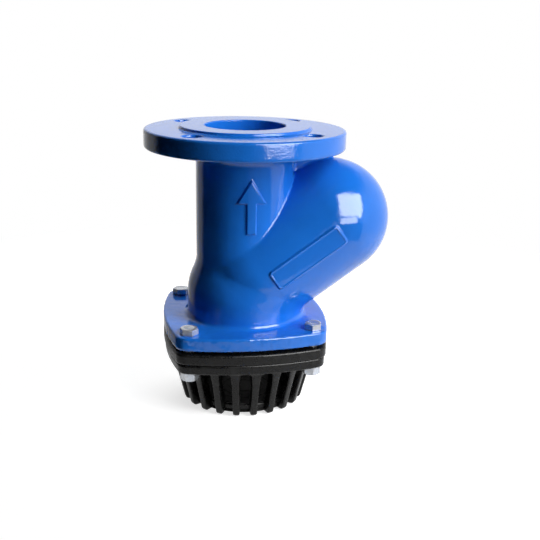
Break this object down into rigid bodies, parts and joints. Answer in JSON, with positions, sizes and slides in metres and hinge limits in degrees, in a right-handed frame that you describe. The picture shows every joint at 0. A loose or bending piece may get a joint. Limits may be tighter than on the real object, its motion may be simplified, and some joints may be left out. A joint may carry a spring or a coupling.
{
  "type": "foot valve",
  "caption": "Ball-type foot valve: blue flanged casting with a slanted ball pocket, clamped on a seat plate and a ribbed strainer basket for a pump's suction pipe.",
  "frame": {"origin": "centre of the outlet flange's raised sealing face", "axes": "+Z out of the outlet along the pipe axis, which is up in use; +X towards the side pocket that the ball rolls into; the picture is taken from the -Y side"},
  "size_m": [0.2495, 0.2, 0.287],
  "materials": {
    "blue_enamel": "glossy bright blue enamel over cast iron",
    "gasket_rubber": "matte black rubber",
    "black_plastic": "satin black moulded plastic",
    "ball_metal": "plain cast aluminium",
    "ball_rubber": "smooth black rubber",
    "zinc_steel": "zinc-plated steel with a faint yellow tint"
  },
  "bodies": {
    "valve": {"valve_body": "blue_enamel", "body_gasket": "gasket_rubber", "seat_plate": "black_plastic", "strainer_flange": "black_plastic", "strainer_ribs": "black_plastic", "strainer_floor": "black_plastic", "strainer_hoop": "black_plastic", "flange_bolts": "zinc_steel", "flange_nuts": "zinc_steel"},
    "ball": {"ball_core": "ball_metal", "ball_coating": "ball_rubber"}
  },
  "joints": [
    {"name": "ball_lift", "type": "slide", "parent": "valve", "child": "ball", "axis": [0.7071, 0, 0.7071], "range_m": [0, 0.1115]}
  ]
}
